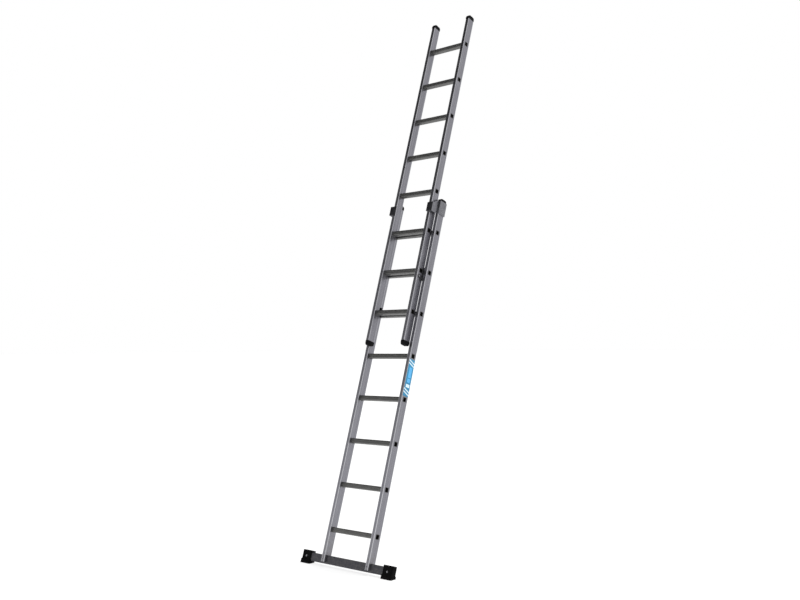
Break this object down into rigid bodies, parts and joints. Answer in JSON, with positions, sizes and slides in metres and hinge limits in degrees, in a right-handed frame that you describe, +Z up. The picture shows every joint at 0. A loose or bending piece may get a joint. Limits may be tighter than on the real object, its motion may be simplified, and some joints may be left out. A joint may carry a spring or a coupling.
{
  "type": "extension ladder",
  "caption": "Two-section aluminium extension ladder, extended and leaning, with hollow square rungs, rung hooks, guide brackets and a wide stabiliser foot with rubber boots.",
  "frame": {"origin": "on the floor, at the centre of the bounding box's footprint", "axes": "+Z is up and +X is to the climber's right. The ladder leans back by 17.5 degrees from the vertical, its top towards +Y, where the wall would be. The climber stands on the -Y side."},
  "size_m": [0.764, 1.1442, 3.6485],
  "materials": {
    "stile_aluminium": "satin extrusion",
    "rung_aluminium": "satin extrusion, worn",
    "bar_aluminium": "dark grey coated aluminium tube",
    "bracket_metal": "bent zinc-plated sheet",
    "rivet_metal": "zinc-plated",
    "hook_steel": "black coated steel",
    "cap_plastic": "black moulded",
    "boot_rubber": "black moulded",
    "label_film": "printed film"
  },
  "bodies": {
    "base": {"base_stile_left": "stile_aluminium", "base_stile_right": "stile_aluminium", "base_rung_1": "rung_aluminium", "base_rung_2": "rung_aluminium", "base_rung_3": "rung_aluminium", "base_rung_4": "rung_aluminium", "base_rung_5": "rung_aluminium", "base_rung_6": "rung_aluminium", "base_rung_7": "rung_aluminium", "base_rung_8": "rung_aluminium", "base_top_cap_left": "cap_plastic", "guide_bracket_left": "bracket_metal", "guide_pad_left": "cap_plastic", "guide_rivet_left_lower": "rivet_metal", "guide_rivet_left_upper": "rivet_metal", "base_top_cap_right": "cap_plastic", "guide_bracket_right": "bracket_metal", "guide_pad_right": "cap_plastic", "guide_rivet_right_lower": "rivet_metal", "guide_rivet_right_upper": "rivet_metal", "stabiliser_bar": "bar_aluminium", "boot_left": "boot_rubber", "boot_rivet_left": "rivet_metal", "bar_bolt_left": "rivet_metal", "bar_nut_left": "rivet_metal", "boot_right": "boot_rubber", "boot_rivet_right": "rivet_metal", "bar_bolt_right": "rivet_metal", "bar_nut_right": "rivet_metal", "side_label": "label_film"},
    "fly": {"fly_stile_left": "stile_aluminium", "fly_stile_right": "stile_aluminium", "fly_rung_1": "rung_aluminium", "fly_rung_2": "rung_aluminium", "fly_rung_3": "rung_aluminium", "fly_rung_4": "rung_aluminium", "fly_rung_5": "rung_aluminium", "fly_rung_6": "rung_aluminium", "fly_rung_7": "rung_aluminium", "fly_rung_8": "rung_aluminium", "fly_top_cap_left": "cap_plastic", "fly_shoe_left": "cap_plastic", "hook_pin_left": "rivet_metal", "glide_pad_left": "cap_plastic", "fly_top_cap_right": "cap_plastic", "fly_shoe_right": "cap_plastic", "hook_pin_right": "rivet_metal", "glide_pad_right": "cap_plastic"},
    "hook_left": {"rung_hook_left": "hook_steel"},
    "hook_right": {"rung_hook_right": "hook_steel"}
  },
  "joints": [
    {"name": "fly_slide", "type": "slide", "parent": "base", "child": "fly", "axis": [0, 0.3007, 0.9537], "range_m": [-1.4, 0]},
    {"name": "hook_left_swing", "type": "hinge", "parent": "fly", "child": "hook_left", "pos_m": [-0.1673, -0.0441, 1.79482], "axis": [1, 0, 0], "range_deg": [0, 45]},
    {"name": "hook_right_swing", "type": "hinge", "parent": "fly", "child": "hook_right", "pos_m": [0.1673, -0.0441, 1.79482], "axis": [1, 0, 0], "range_deg": [0, 45]}
  ]
}
